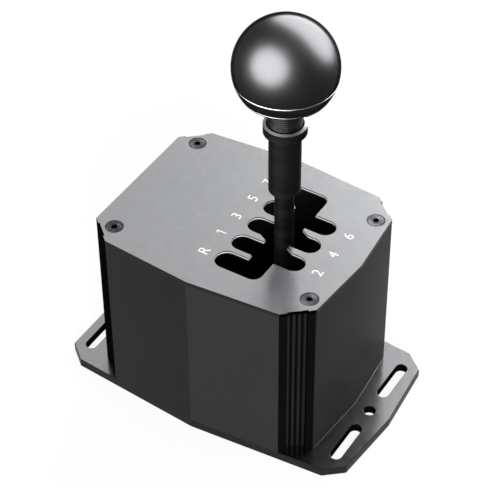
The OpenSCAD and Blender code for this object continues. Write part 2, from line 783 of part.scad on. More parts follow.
// A sensor board in the XY plane, its chip below z = 0 and its header above
module sensor_board() {
    difference() {
        union() {
            translate([-sensor_l / 2, -sensor_w / 2, 0]) cube([sensor_l, sensor_w, board_t]);
            translate([-chip_w / 2, -chip_w / 2, -chip_t]) cube([chip_w, chip_w, chip_t + eps]);
            translate([-header.x / 2, header_in - sensor_w / 2, board_t - eps])
                cube([header.x, header.z, header.y + eps]);
        }
        for (s = [-1, 1]) translate([s * sensor_screw, 0, -past])
            cylinder(d = tiny_d + 2 * hole_gap, h = board_t + 2 * past);
    }
}
module sensor_screws() {
    for (s = [-1, 1]) translate([s * sensor_screw, 0, board_t]) round_screw(tiny_d, board_t + bite);
}
module at_select_board() {
    at_pivot() translate([0, select_board_y, 0]) rotate([-90, 180, 0]) mirror([1, 0, 0]) children();
}
module at_shift_board() {
    at_pivot() translate([-shift_board_x, 0, 0]) rotate([90, 0, -90]) children();
}
module select_board() { color([0.05, 0.3, 0.15]) at_select_board() sensor_board(); }
module select_board_screws() { color([0.7, 0.7, 0.72]) at_select_board() sensor_screws(); }
module shift_board() { color([0.05, 0.3, 0.15]) at_shift_board() sensor_board(); }
module shift_board_screws() { color([0.7, 0.7, 0.72]) at_shift_board() sensor_screws(); }

// Control board on standoffs, with its chips and the plugs of the two leads
module on_board(at, size) {
    translate([at.x, at.y, board_top - eps]) cube(size + [0, 0, eps]);
}
module control_board() {
    color([0.05, 0.3, 0.15])
    difference() {
        union() {
            translate([-board_w / 2, board_y0, board_z]) cube([board_w, board_l, board_t]);
            for (x = [0, shift_header_x])
                on_board([x - header.x / 2, header_y - header.z / 2], [header.x, header.z, header.y]);
            on_board(main_chip_at, main_chip);
            on_board(small_chip_at, small_chip);
        }
        at_board_screws(board_z - past) cylinder(d = small_d + 2 * hole_gap, h = board_t + 2 * past);
    }
}
module board_standoffs() {
    color([0.78, 0.68, 0.4])
    difference() {
        at_board_screws(base_t) {
            cylinder(d = standoff_d, h = standoff_h, $fn = 6);
            translate([0, 0, -spigot_l]) cylinder(d = small_d, h = spigot_l + eps);
        }
        at_board_screws(board_z - tap) cylinder(d = small_d + 2 * thread_gap, h = tap + past);
    }
}
module board_screws() {
    color([0.7, 0.7, 0.72])
        at_board_screws(board_top) round_screw(small_d, board_t + bite);
}

// Data socket: a box with a stepped mouth, and spring contacts under its roof
module data_socket() {
    color([0.08, 0.08, 0.09])
    difference() {
        translate([-jack_w / 2, jack_y1 - jack_l, board_top]) cube([jack_w, jack_l, jack_h]);
        translate([-mouth_w / 2, jack_y1 - mouth_l, mouth_z])
            cube([mouth_w, mouth_l + past, mouth_h]);
        translate([-mouth_w / 4, jack_y1 - mouth_l, mouth_z - latch_h])
            cube([mouth_w / 2, mouth_l + past, latch_h + eps]);
    }
}
module socket_contacts() {
    color([0.85, 0.7, 0.3]) for (i = [0 : contact_n - 1])
        translate([(i - (contact_n - 1) / 2) * contact_pitch - contact_t / 2, jack_y1 - mouth_l + eps,
                mouth_z + mouth_h - contact_t - eps])
            cube([contact_t, mouth_l * 0.7, contact_t]);
}

// Sensor leads
module select_lead() { color([0.1, 0.1, 0.1]) tube(select_route, [1, 0, 0], lead_d / 2, 8); }
module shift_lead() { color([0.1, 0.1, 0.1]) tube(shift_route, [1, 0, 1], lead_d / 2, 8); }

// Hub: a block on the cross pin, with a boss that grips the rod
module lever_hub() {
    color([0.55, 0.56, 0.58])
    at_pivot() difference() {
        union() {
            translate([-hub_x, -hub_l / 2, -hub_h / 2]) cube([hub_x + cam_x, hub_l, hub_h]);
            cylinder(d = boss_d, h = boss_top);
        }
        translate([-hub_x - past, 0, 0]) along_x() cylinder(r = shaft_r + seat_gap, h = 3 * hub_x);
        translate([cam_x, -hub_l, -hub_h]) cube([hub_x, 2 * hub_l, 1.5 * hub_h]);
        translate([0, 0, boss_top - rod_seat]) cylinder(d = rod_d + 2 * seat_gap, h = rod_seat + past);
        translate([0, -boss_d, rod_grub_z]) along_y() cylinder(d = grub_d + 2 * thread_gap, h = boss_d);
        translate([0, 0, -hub_h]) cylinder(d = grub_d + 2 * thread_gap, h = hub_h);
        for (v = [-1, 1]) at_cam_screw(v, cam_x - tap) along_x()
            cylinder(d = tiny_d + 2 * thread_gap, h = tap + past);
    }
}
module at_cam_screw(v, x) {
    translate([x, -cam_screw * cos(45), v * cam_screw * sin(45)]) children();
}
module hub_grubs() {
    color([0.2, 0.2, 0.22]) at_pivot() {
        translate([0, -rod_d / 2 - seat_gap, rod_grub_z]) rotate([90, 0, 0])
            grub(grub_d, boss_d / 2 - rod_d / 2 - side_play);
        translate([0, 0, -shaft_r - seat_gap]) mirror([0, 0, 1])
            grub(grub_d, hub_h / 2 - shaft_r - side_play);
    }
}
module cross_pin() {
    color([0.75, 0.75, 0.77])
        at_pivot() translate([-pin_end, 0, 0]) along_x() cylinder(r = shaft_r, h = pin_end + frame_w / 2);
}
module shift_magnet() {
    color([0.8, 0.8, 0.82])
        at_pivot() translate([-pin_end - magnet_t, 0, 0]) along_x() cylinder(d = magnet_d, h = magnet_t);
}

// Detent cam: a disc on the pin with three notches, one for each place of the lever
module detent_cam() {
    color([0.45, 0.46, 0.48])
    at_pivot() difference() {
        translate([cam_x, 0, 0]) along_x() linear_extrude(cam_t) difference() {
            union() {
                circle(r = cam_r);
                intersection() {
                    circle(r = cam_reach);
                    polygon([[0, 0], 2 * cam_reach * [cos(cam_half), -sin(cam_half)],
                        2 * cam_reach * [cos(cam_half), sin(cam_half)]]);
                }
            }
            circle(r = shaft_r + seat_gap);
            for (a = [-1 : 1]) rotate(a * shift_lean) translate([nose_y, 0]) circle(r = notch_r);
        }
        for (v = [-1, 1]) at_cam_screw(v, cam_x + cam_t) rotate([0, 90, 0])
            sunk_hole(tiny_d, sunk_d(tiny_d), sunk_h(tiny_d), cam_t);
    }
}
module cam_screws() {
    color([0.2, 0.2, 0.22]) at_pivot() for (v = [-1, 1]) at_cam_screw(v, cam_x + cam_t)
        rotate([0, 90, 0])
            sunk_screw(tiny_d, cam_t + bite, sunk_d(tiny_d), sunk_h(tiny_d), hex_af(tiny_d));
}

// Lever: rod, sleeve, collar and neck turned about one line
module turned(z, pts) { translate([0, gate_y, z]) rotate_extrude() polygon(pts); }
module lever_rod() {
    low = pivot_z + boss_top - rod_seat;
    l = collar_z - sleeve_roof - thread_gap - low;
    r = rod_d / 2;
    c = rod_c;
    color([0.13, 0.13, 0.14])
        turned(low, [[0, 0], [r - c, 0], [r, c], [r, l - c], [r - c, l], [0, l]]);
}
module lever_sleeve() {
    r = sleeve_d / 2;
    bore = rod_d / 2 + seat_gap;
    deep = sleeve_l - sleeve_roof;
    color([0.13, 0.13, 0.14])
        turned(sleeve_z, [[bore, 0], [r - sleeve_c, 0], [r, sleeve_c], [r, sleeve_l], [stud_d / 2, sleeve_l],
            [stud_d / 2, sleeve_l + stud_l], [0, sleeve_l + stud_l], [0, deep], [bore, deep]]);
}
module lever_collar() {
    r = collar_d / 2;
    bore = stud_d / 2 + thread_gap;
    floor_z = collar_h - neck_seat;
    color([0.13, 0.13, 0.14])
        turned(collar_z, [[bore, 0], [r, 0], [r, collar_h - rim_h], [r - rim_w, collar_h],
            [r - rim_w, floor_z], [bore, floor_z]]);
}
module knob_neck() {
    r = neck_d / 2;
    bore = stud_d / 2 + thread_gap;
    low = collar_top - neck_seat;
    seat = knob_z - low;
    deep = stud_l - collar_h + neck_seat + side_play;
    color([0.12, 0.12, 0.13])
        turned(low, [[bore, 0], [r, 0], [r, seat], [core_d / 2, seat], [core_d / 2, seat + core_l],
            [0, seat + core_l], [0, deep], [bore, deep]]);
}

// Knob: a ball in three pieces, whose lower two have a bright cut upper edge
module knob_core(extra = 0) {
    translate([0, gate_y, knob_z - past])
        cylinder(d = core_d + 2 * seat_gap, h = core_l + past + extra);
}
// The slice of the ball between two levels below its middle
module ball_slice(low, high, cut) {
    edge_r = sqrt(ball_r * ball_r - high * high);
    translate([0, gate_y, ball_z]) intersection() {
        sphere(r = ball_r, $fn = 96);
        union() {
            translate([0, 0, -low]) cylinder(r = ball_r + past, h = low - high - cut + eps);
            translate([0, 0, -high - cut])
                cylinder(r1 = edge_r + cut * high / edge_r, r2 = edge_r - cut, h = cut);
        }
    }
}
module knob_base() {
    color([0.1, 0.1, 0.11]) difference() {
        ball_slice(knob_flat, band_bottom, edge_cut);
        knob_core();
    }
}
module knob_band() {
    color([0.1, 0.1, 0.11]) difference() {
        ball_slice(band_bottom, band_top, edge_cut);
        knob_core();
    }
}
module knob_ball() {
    color([0.08, 0.08, 0.09]) difference() {
        translate([0, gate_y, ball_z]) intersection() {
            sphere(r = ball_r, $fn = 96);
            translate([0, 0, -band_top]) cylinder(r = ball_r + past, h = 2 * ball_r);
        }
        knob_core(seat_gap);
    }
}

base_plate();
housing();
top_plate();
top_screws();
base_screws();
rear_stand();
front_stand();
stand_screws();
rear_bush();
front_bush();
left_spring_cup();
right_spring_cup();
left_spring();
right_spring();
select_board();
select_board_screws();
control_board();
board_standoffs();
board_screws();
data_socket();
socket_contacts();
select_lead();
select_frame();
rear_trunnion();
front_trunnion();
trunnion_grubs();
left_cross_bush();
right_cross_bush();
select_magnet();
detent_leaf();
leaf_screws();
shift_board();
shift_board_screws();
shift_lead();
lever_hub();
cross_pin();
detent_cam();
cam_screws();
hub_grubs();
shift_magnet();
lever_rod();
lever_sleeve();
lever_collar();
knob_neck();
knob_base();
knob_band();
knob_ball();
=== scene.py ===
import math
import bpy
import bmesh
from mathutils import Matrix, Vector


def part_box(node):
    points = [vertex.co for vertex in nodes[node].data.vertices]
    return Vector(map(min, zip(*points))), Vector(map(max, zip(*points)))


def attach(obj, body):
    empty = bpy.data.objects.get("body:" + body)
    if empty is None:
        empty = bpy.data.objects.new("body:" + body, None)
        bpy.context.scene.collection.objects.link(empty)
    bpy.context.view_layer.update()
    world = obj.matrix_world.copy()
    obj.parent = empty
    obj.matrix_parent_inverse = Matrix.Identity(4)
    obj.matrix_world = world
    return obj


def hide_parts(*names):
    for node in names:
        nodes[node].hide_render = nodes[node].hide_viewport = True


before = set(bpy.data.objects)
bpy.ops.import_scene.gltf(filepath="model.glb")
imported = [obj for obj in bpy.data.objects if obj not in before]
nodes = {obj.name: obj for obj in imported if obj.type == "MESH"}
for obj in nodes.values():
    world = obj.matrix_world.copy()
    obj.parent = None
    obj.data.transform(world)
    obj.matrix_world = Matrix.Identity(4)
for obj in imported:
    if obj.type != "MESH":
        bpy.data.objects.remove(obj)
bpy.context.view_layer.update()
mm = 0.001
print("frame loaded:", len(nodes), "nodes")

# camera and studio

cameraSetup = {
    "lens": 133.73,
    "sensor": 36.0,
    "target": (51.717, 32.442, 29.781),
    "distance": 987.652,
    "azimuth": -58.007,
    "elevation": 42.239,
    "roll": -0.538,
    "clip": (0.05, 20),
}


def addCamera(s):
    turn, rise, roll = (math.radians(s[k]) for k in ("azimuth", "elevation", "roll"))
    back = Vector((math.sin(turn) * math.cos(rise), -math.cos(turn) * math.cos(rise), math.sin(rise)))
    right = Vector((math.cos(turn), math.sin(turn), 0))
    up = back.cross(right)
    rolledRight = math.cos(roll) * right + math.sin(roll) * up
    rolledUp = math.cos(roll) * up - math.sin(roll) * right
    data = bpy.data.cameras.new("camera")
    data.lens = s["lens"]
    data.sensor_width = s["sensor"]
    data.clip_start, data.clip_end = s["clip"]
    camera = bpy.data.objects.new("camera", data)
    bpy.context.scene.collection.objects.link(camera)
    camera.matrix_world = Matrix((rolledRight, rolledUp, back)).transposed().to_4x4()
    camera.location = (Vector(s["target"]) + s["distance"] * back) * mm
    bpy.context.scene.camera = camera


addCamera(cameraSetup)
bpy.context.scene.view_settings.view_transform = "Standard"

lampSetups = [
    # name, place, aim, width, height, watts, and whether it lights surfaces or only shows in them
    ("lampLeft", (-1.1, -0.95, 0.7), (0, -0.02, 0.1), 0.8, 0.8, 26.0, "surfaces"),
    ("lampRight", (1.5, 0.1, 0.8), (0, 0, 0.15), 1.2, 0.8, 20.0, "surfaces"),
    ("softboxLeft", (-1.3, 0.24, 0.93), (0, -0.02, 0.2), 2.55, 2.15, 970.0, "reflections"),
    ("softboxKnob", (1.36, -0.2, 0.82), (0, -0.02, 0.2), 3.3, 2.2, 1200.0, "reflections"),
    ("softboxRight", (1.5, -0.04, 0.45), (0, 0, 0.2), 1.7, 0.9, 250.0, "reflections"),
]


def addLamp(name, place, aim, width, height, watts, part):
    data = bpy.data.lights.new(name, "AREA")
    data.shape = "ELLIPSE"
    data.size = width
    data.size_y = height
    data.energy = watts
    lamp = bpy.data.objects.new(name, data)
    lamp.visible_glossy = part == "reflections"
    lamp.visible_diffuse = part == "surfaces"
    bpy.context.scene.collection.objects.link(lamp)
    lamp.location = place
    lamp.rotation_euler = (Vector(aim) - Vector(place)).to_track_quat("-Z", "Y").to_euler()


for setup in lampSetups:
    addLamp(*setup)

studio = {"ambient": 0.6, "seen": 1.0, "floorHalf": 3.0, "floorDrop": 0.0002, "floorShade": 0.95,
          "shadowShare": 0.1}


def seenRay(tree):
    # 1 for rays that show the background: camera, glossy and transmission
    path = tree.nodes.new("ShaderNodeLightPath")
    first = tree.nodes.new("ShaderNodeMath")
    first.operation = "MAXIMUM"
    second = tree.nodes.new("ShaderNodeMath")
    second.operation = "MAXIMUM"
    tree.links.new(path.outputs["Is Camera Ray"], first.inputs[0])
    tree.links.new(path.outputs["Is Glossy Ray"], first.inputs[1])
    tree.links.new(first.outputs[0], second.inputs[0])
    tree.links.new(path.outputs["Is Transmission Ray"], second.inputs[1])
    return second.outputs[0]


def buildWorld(s):
    world = bpy.data.worlds.new("studio")
    bpy.context.scene.world = world
    world.use_nodes = True
    tree = world.node_tree
    tree.nodes.clear()
    out = tree.nodes.new("ShaderNodeOutputWorld")
    mix = tree.nodes.new("ShaderNodeMixShader")
    ambient = tree.nodes.new("ShaderNodeBackground")
    ambient.inputs["Color"].default_value = (1, 1, 1, 1)
    ambient.inputs["Strength"].default_value = s["ambient"]
    seen = tree.nodes.new("ShaderNodeBackground")
    seen.inputs["Color"].default_value = (1, 1, 1, 1)
    seen.inputs["Strength"].default_value = s["seen"]
    tree.links.new(seenRay(tree), mix.inputs[0])
    tree.links.new(ambient.outputs[0], mix.inputs[1])
    tree.links.new(seen.outputs[0], mix.inputs[2])
    tree.links.new(mix.outputs[0], out.inputs[0])


def buildFloor(s):
    work = bmesh.new()
    bmesh.ops.create_grid(work, x_segments=1, y_segments=1, size=s["floorHalf"])
    bmesh.ops.translate(work, vec=(0, 0, -s["floorDrop"]), verts=work.verts)
    mesh = bpy.data.meshes.new("floor")
    work.to_mesh(mesh)
    work.free()
    floor = bpy.data.objects.new("floor", mesh)
    bpy.context.scene.collection.objects.link(floor)
    material = bpy.data.materials.new("paleFloor")
    material.use_nodes = True
    tree = material.node_tree
    tree.nodes.clear()
    out = tree.nodes.new("ShaderNodeOutputMaterial")
    paint = tree.nodes.new("ShaderNodeBsdfDiffuse")
    paint.inputs["Color"].default_value = (s["floorShade"],) * 3 + (1,)
    glow = tree.nodes.new("ShaderNodeEmission")
    glow.inputs["Color"].default_value = (1, 1, 1, 1)
    glow.inputs["Strength"].default_value = 1.0
    share = tree.nodes.new("ShaderNodeMath")
    share.operation = "MULTIPLY"
    share.inputs[1].default_value = 1 - s["shadowShare"]
    mix = tree.nodes.new("ShaderNodeMixShader")
    tree.links.new(seenRay(tree), share.inputs[0])
    tree.links.new(share.outputs[0], mix.inputs[0])
    tree.links.new(paint.outputs[0], mix.inputs[1])
    tree.links.new(glow.outputs[0], mix.inputs[2])
    tree.links.new(mix.outputs[0], out.inputs[0])
    floor.data.materials.append(material)


buildWorld(studio)
buildFloor(studio)
print("studio ready")

# finishes


def newGroup(name, ins, outs):
    group = bpy.data.node_groups.new(name, "ShaderNodeTree")
    for label, kind, value in ins:
        socket = group.interface.new_socket(label, in_out="INPUT", socket_type=kind)
        if value is not None:
            socket.default_value = value
    for label, kind in outs:
        group.interface.new_socket(label, in_out="OUTPUT", socket_type=kind)
    return group, group.nodes.new("NodeGroupInput"), group.nodes.new("NodeGroupOutput")


def addMath(tree, operation, first, second):
    node = tree.nodes.new("ShaderNodeMath")
    node.operation = operation
    for i, value in enumerate((first, second)):
        if isinstance(value, (int, float)):
            node.inputs[i].default_value = value
        else:
            tree.links.new(value, node.inputs[i])
    return node.outputs[0]


grainShare = 0.6            # the fine grain's share of the mix, the rest being patches
noiseBand = (0.3, 0.7)      # the stretch of the noise that a finish's colours and roughness span


def buildGrain():
    # fine grain with soft cloudy patches, both from 0 to 1
    group, start, end = newGroup(
        "grain",
        [("Vector", "NodeSocketVector", None), ("Grain Scale", "NodeSocketFloat", 3000.0),
         ("Patch Scale", "NodeSocketFloat", 40.0)],
        [("Grain", "NodeSocketFloat"), ("Patches", "NodeSocketFloat"), ("Mix", "NodeSocketFloat")],
    )
    fine = group.nodes.new("ShaderNodeTexNoise")
    fine.inputs["Detail"].default_value = 2.0
    patches = group.nodes.new("ShaderNodeTexNoise")
    patches.inputs["Detail"].default_value = 3.0
    group.links.new(start.outputs["Vector"], fine.inputs["Vector"])
    group.links.new(start.outputs["Grain Scale"], fine.inputs["Scale"])
    group.links.new(start.outputs["Vector"], patches.inputs["Vector"])
    group.links.new(start.outputs["Patch Scale"], patches.inputs["Scale"])
    both = addMath(group, "ADD", addMath(group, "MULTIPLY", fine.outputs["Fac"], grainShare),
                   addMath(group, "MULTIPLY", patches.outputs["Fac"], 1 - grainShare))
    group.links.new(fine.outputs["Fac"], end.inputs["Grain"])
    group.links.new(patches.outputs["Fac"], end.inputs["Patches"])
    group.links.new(both, end.inputs["Mix"])
    return group


grain = buildGrain()


def makeFinish(name, s):
    material = bpy.data.materials.new(name)
    material.use_nodes = True
    tree = material.node_tree
    shader = tree.nodes["Principled BSDF"]
    shader.inputs["Metallic"].default_value = s.get("metallic", 0.0)
    shader.inputs["Specular IOR Level"].default_value = s.get("specular", 0.5)
    shader.inputs["Specular Tint"].default_value = (s.get("rim", 1.0),) * 3 + (1,)
    if "rimFall" in s:
        # the gloss weakens where a round piece turns away: from, to, gloss before and after
        facing = tree.nodes.new("ShaderNodeLayerWeight")
        facing.inputs["Blend"].default_value = 0.5
        fall = tree.nodes.new("ShaderNodeMapRange")
        fall.interpolation_type = "SMOOTHSTEP"
        for label, value in zip(("From Min", "From Max", "To Min", "To Max"), s["rimFall"]):
            fall.inputs[label].default_value = value
        tree.links.new(facing.outputs["Facing"], fall.inputs["Value"])
        tree.links.new(fall.outputs["Result"], shader.inputs["Specular Tint"])
    shader.inputs["Coat Weight"].default_value = s.get("coat", 0.0)
    coordinates = tree.nodes.new("ShaderNodeTexCoord")
    stretch = tree.nodes.new("ShaderNodeMapping")
    stretch.inputs["Scale"].default_value = s.get("stretch", (1, 1, 1))
    texture = tree.nodes.new("ShaderNodeGroup")
    texture.node_tree = grain
    texture.inputs["Grain Scale"].default_value = s.get("grain", 3000.0)
    texture.inputs["Patch Scale"].default_value = s.get("patch", 40.0)
    tree.links.new(coordinates.outputs["Object"], stretch.inputs["Vector"])
    tree.links.new(stretch.outputs[0], texture.inputs["Vector"])
    colour = tree.nodes.new("ShaderNodeValToRGB")
    for stop, place, label in zip(colour.color_ramp.elements, noiseBand, ("dark", "light")):
        stop.position = place
        stop.color = (*s[label], 1)
    tree.links.new(texture.outputs["Mix"], colour.inputs[0])
    tree.links.new(colour.outputs[0], shader.inputs["Base Color"])
    rough = tree.nodes.new("ShaderNodeMapRange")
    for label, value in zip(("From Min", "From Max", "To Min", "To Max"), noiseBand + s["rough"]):
        rough.inputs[label].default_value = value
    tree.links.new(texture.outputs["Patches"], rough.inputs["Value"])
    tree.links.new(rough.outputs[0], shader.inputs["Roughness"])
    bump = tree.nodes.new("ShaderNodeBump")
    bump.inputs["Strength"].default_value = s.get("bump", 0.1)
    bump.inputs["Distance"].default_value = s.get("depth", 0.00005)
    tree.links.new(texture.outputs["Grain"], bump.inputs["Height"])
    tree.links.new(bump.outputs[0], shader.inputs["Normal"])
    return material


finishes = {
    "blastedGrey": {"dark": (0.288, 0.292, 0.3), "light": (0.316, 0.32, 0.328), "metallic": 1.0,
                    "rough": (0.22, 0.235), "grain": 2600, "patch": 300, "bump": 0.06, "depth": 0.00004},
    "baseGrey": {"dark": (0.27, 0.273, 0.28), "light": (0.3, 0.304, 0.312), "metallic": 1.0,
                 "rough": (0.17, 0.2), "grain": 2600, "patch": 300, "bump": 0.06, "depth": 0.00004},
    "blastedBlack": {"dark": (0.0105, 0.0105, 0.0112), "light": (0.0135, 0.0135, 0.0144), "specular": 0.045,
                     "rough": (0.28, 0.34), "grain": 2600, "patch": 30, "bump": 0.1},
    # painted light: a lighter copy of blastedBlack, so that two of the side facets read as more lit
    "paintedLitBlack": {"dark": (0.0185, 0.0185, 0.0194), "light": (0.022, 0.022, 0.0231), "specular": 0.045,
                   "rough": (0.28, 0.34), "grain": 2600, "patch": 30, "bump": 0.1},
    "endBlack": {"dark": (0.0115, 0.0115, 0.0121), "light": (0.0145, 0.0145, 0.0152), "specular": 0.012,
                 "rough": (0.28, 0.34), "grain": 2600, "patch": 30, "bump": 0.1},
    # painted shade: near black with no gloss, for the ribbed recesses and the base plate's slot walls
    "paintedShadeBlack": {"dark": (0.002, 0.002, 0.0023), "light": (0.0035, 0.0035, 0.004), "specular": 0.0,
                    "rough": (0.4, 0.5), "grain": 2600, "patch": 60, "bump": 0.1},
    # painted highlight: a pale band painted on the gate's black walls, standing in for light on them
    "paintedWallHighlight": {"dark": (0.7, 0.7, 0.71), "light": (0.85, 0.85, 0.86),
                "rough": (0.4, 0.5), "grain": 900, "stretch": (1, 1, 4), "patch": 120, "bump": 0.1},
    "collarLine": {"dark": (0.047, 0.047, 0.049), "light": (0.064, 0.064, 0.067), "metallic": 1.0,
                   "rimFall": (0.5, 0.8, 0.9, 0.1), "rough": (0.4, 0.5), "grain": 1500, "patch": 90},
    "edgeLine": {"dark": (0.034, 0.035, 0.036), "light": (0.046, 0.047, 0.049), "metallic": 1.0,
                 "rimFall": (0.5, 0.8, 0.9, 0.1), "rough": (0.36, 0.46), "grain": 1500, "patch": 90},
    # painted shade: near black and nearly without gloss, for fine edge cuts, slanted walls, countersinks,
    # screw sockets and screw rims
    "paintedShadeLine": {"dark": (0.0015, 0.0015, 0.0018), "light": (0.003, 0.003, 0.0035), "metallic": 1.0,
                 "rim": 0.05, "rough": (0.5, 0.6)},
    "legendPaint": {"dark": (0.78, 0.78, 0.78), "light": (0.9, 0.9, 0.9), "rough": (0.5, 0.6),
                    "grain": 4000, "patch": 200, "bump": 0.05},
    "screwSteel": {"dark": (0.02, 0.02, 0.0245), "light": (0.026, 0.026, 0.032), "metallic": 1.0,
                   "rough": (0.32, 0.4), "grain": 5000, "patch": 400, "bump": 0.1},
    "satinBlack": {"dark": (0.0105, 0.0105, 0.0109), "light": (0.0118, 0.0118, 0.0122), "metallic": 1.0,
                   "rim": 0.5, "rimFall": (0.575, 0.85, 0.52, 0.06), "rough": (0.34, 0.37),
                   "grain": 3500, "patch": 35, "bump": 0.04},
    "turnedBlack": {"dark": (0.0055, 0.0055, 0.0059), "light": (0.0073, 0.0073, 0.0078), "metallic": 1.0,
                    "rim": 0.46, "rough": (0.36, 0.44), "grain": 700, "stretch": (0.3, 0.3, 6), "patch": 50,
                    "bump": 0.1},
    "rodBlack": {"dark": (0.004, 0.004, 0.0042), "light": (0.006, 0.006, 0.0063), "metallic": 1.0,
                 "rim": 0.45, "rough": (0.38, 0.46), "grain": 700, "stretch": (0.3, 0.3, 6), "patch": 50,
                 "bump": 0.1},
    "groundSteel": {"dark": (0.45, 0.45, 0.46), "light": (0.62, 0.62, 0.64), "metallic": 1.0,
                    "rough": (0.2, 0.32), "grain": 900, "stretch": (4, 4, 1), "patch": 60, "bump": 0.08},
    "springSteel": {"dark": (0.35, 0.35, 0.37), "light": (0.52, 0.52, 0.54), "metallic": 1.0,
                    "rough": (0.25, 0.4), "grain": 1500, "patch": 80, "bump": 0.05},
    "blackOxide": {"dark": (0.02, 0.02, 0.024), "light": (0.04, 0.04, 0.046), "metallic": 0.5,
                   "rough": (0.35, 0.5), "grain": 2500, "patch": 200},
    "sinteredBronze": {"dark": (0.42, 0.25, 0.1), "light": (0.6, 0.4, 0.18), "metallic": 1.0,
                       "rough": (0.35, 0.5), "grain": 1800, "patch": 120, "bump": 0.25},
    "machinedAluminium": {"dark": (0.5, 0.51, 0.53), "light": (0.66, 0.67, 0.69), "metallic": 1.0,
                          "rough": (0.28, 0.4), "grain": 800, "stretch": (1, 6, 1), "patch": 60,
                          "bump": 0.12},
    "greyAluminium": {"dark": (0.3, 0.31, 0.33), "light": (0.42, 0.43, 0.45), "metallic": 1.0,
                      "rough": (0.3, 0.42), "grain": 900, "stretch": (6, 1, 1), "patch": 60, "bump": 0.12},
    "mouldedBlack": {"dark": (0.012, 0.012, 0.013), "light": (0.022, 0.022, 0.024), "rough": (0.42, 0.55),
                     "grain": 2200, "patch": 80, "bump": 0.2},
    "solderMask": {"dark": (0.006, 0.06, 0.028), "light": (0.014, 0.12, 0.055), "rough": (0.2, 0.35),
                   "grain": 700, "patch": 300, "coat": 0.4, "bump": 0.08},
    "plainBrass": {"dark": (0.5, 0.34, 0.12), "light": (0.7, 0.52, 0.22), "metallic": 1.0,
                   "rough": (0.25, 0.38), "grain": 1200, "stretch": (1, 1, 5), "patch": 90},
    "goldFlash": {"dark": (0.75, 0.5, 0.16), "light": (0.9, 0.66, 0.26), "metallic": 1.0,
                  "rough": (0.15, 0.25), "grain": 2500, "patch": 300},
    "nickelPlate": {"dark": (0.6, 0.59, 0.57), "light": (0.75, 0.74, 0.72), "metallic": 1.0,
                    "rough": (0.12, 0.22), "grain": 2000, "patch": 150},
    "leadJacket": {"dark": (0.014, 0.014, 0.015), "light": (0.026, 0.026, 0.027), "rough": (0.5, 0.65),
                   "grain": 2500, "patch": 150, "bump": 0.2},
}
looks = {name: makeFinish(name, s) for name, s in finishes.items()}

nodeFinish = {
    "blackOxide": ["stand_screws", "trunnion_grubs", "leaf_screws", "cam_screws", "hub_grubs"],
    "machinedAluminium": ["rear_stand", "front_stand"],
    "greyAluminium": ["select_frame", "lever_hub"],
    "sinteredBronze": ["rear_bush", "front_bush", "left_cross_bush", "right_cross_bush"],
    "mouldedBlack": ["left_spring_cup", "right_spring_cup", "data_socket"],
    "springSteel": ["left_spring", "right_spring", "detent_leaf"],
    "groundSteel": ["rear_trunnion", "front_trunnion", "cross_pin", "detent_cam", "select_board_screws",
                    "shift_board_screws", "board_screws"],
    "solderMask": ["select_board", "shift_board", "control_board"],
    "plainBrass": ["board_standoffs"],
    "goldFlash": ["socket_contacts"],
    "nickelPlate": ["select_magnet", "shift_magnet"],
    "leadJacket": ["select_lead", "shift_lead"],
}
for finish, names in nodeFinish.items():
    for nodeName in names:
        for slot in nodes[nodeName].material_slots:
            slot.material = looks[finish]
print("finishes ready:", len(looks))

# helpers for pieces

mergeGap = 2e-6         # metres: doubles nearer than this in a CAD node's mesh are one
joinAngle = 0.4         # degrees: faces that turn less than this are joined
levelGap = 0.01         # mm: two heights or places nearer than this are the same
cutGap = 1e-7           # metres: how near a bisecting plane takes a vertex as on it
latheGap = 1e-6         # metres: doubles nearer than this in a turned piece are one
noLength = 1e-9         # mm squared: guards against a stretch without length
flatTop = 0.99999       # a face whose normal rises more than this is shaded flat


def addPiece(work, name, body, finishNames, replaced=(), smoothAngle=30):
    mesh = bpy.data.meshes.new(name)
    work.to_mesh(mesh)
    work.free()
    for finish in finishNames:
        mesh.materials.append(looks[finish])
    mesh.set_sharp_from_angle(angle=math.radians(smoothAngle))
    for face in mesh.polygons:
        face.use_smooth = abs(face.normal.z) < flatTop
    piece = bpy.data.objects.new(name, mesh)
    bpy.context.scene.collection.objects.link(piece)
    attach(piece, body)
    if replaced:
        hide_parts(*replaced)
    print("piece:", name, len(mesh.polygons), "faces")


def copyNode(nodeName):
    # the CAD node's mesh, merged and with its flat faces joined
    work = bmesh.new()
    work.from_mesh(nodes[nodeName].data)
    bmesh.ops.remove_doubles(work, verts=work.verts, dist=mergeGap)
    bmesh.ops.dissolve_limit(work, angle_limit=math.radians(joinAngle), verts=work.verts,
                             edges=work.edges)
    for face in work.faces:
        face.material_index = 0
    return work


def cutLevel(work, height):
    # cuts the faces through at a height in mm
    geometry = work.verts[:] + work.edges[:] + work.faces[:]
    bmesh.ops.bisect_plane(work, geom=geometry, dist=cutGap, plane_co=(0, 0, height * mm),
                           plane_no=(0, 0, 1))


def pickEdges(work, test, sharper=25):
    # the sharp edges whose two ends, in mm, pass the test
    picked = []
    for edge in work.edges:
        if len(edge.link_faces) == 2 and edge.calc_face_angle(0) > math.radians(sharper):
            a, b = (v.co / mm for v in edge.verts)
            if test(a, b):
                picked.append(edge)
    return picked


def bevelEdges(work, edges, width, segments, material=-1):
    bmesh.ops.bevel(work, geom=edges, offset=width * mm, offset_type="OFFSET", affect="EDGES",
                    segments=segments, profile=0.5, material=material, clamp_overlap=True)


def moveInto(joined, work):
    # adds a finished bmesh to another and frees it
    spare = bpy.data.meshes.new("spare")
    work.to_mesh(spare)
    work.free()
    joined.from_mesh(spare)
    bpy.data.meshes.remove(spare)


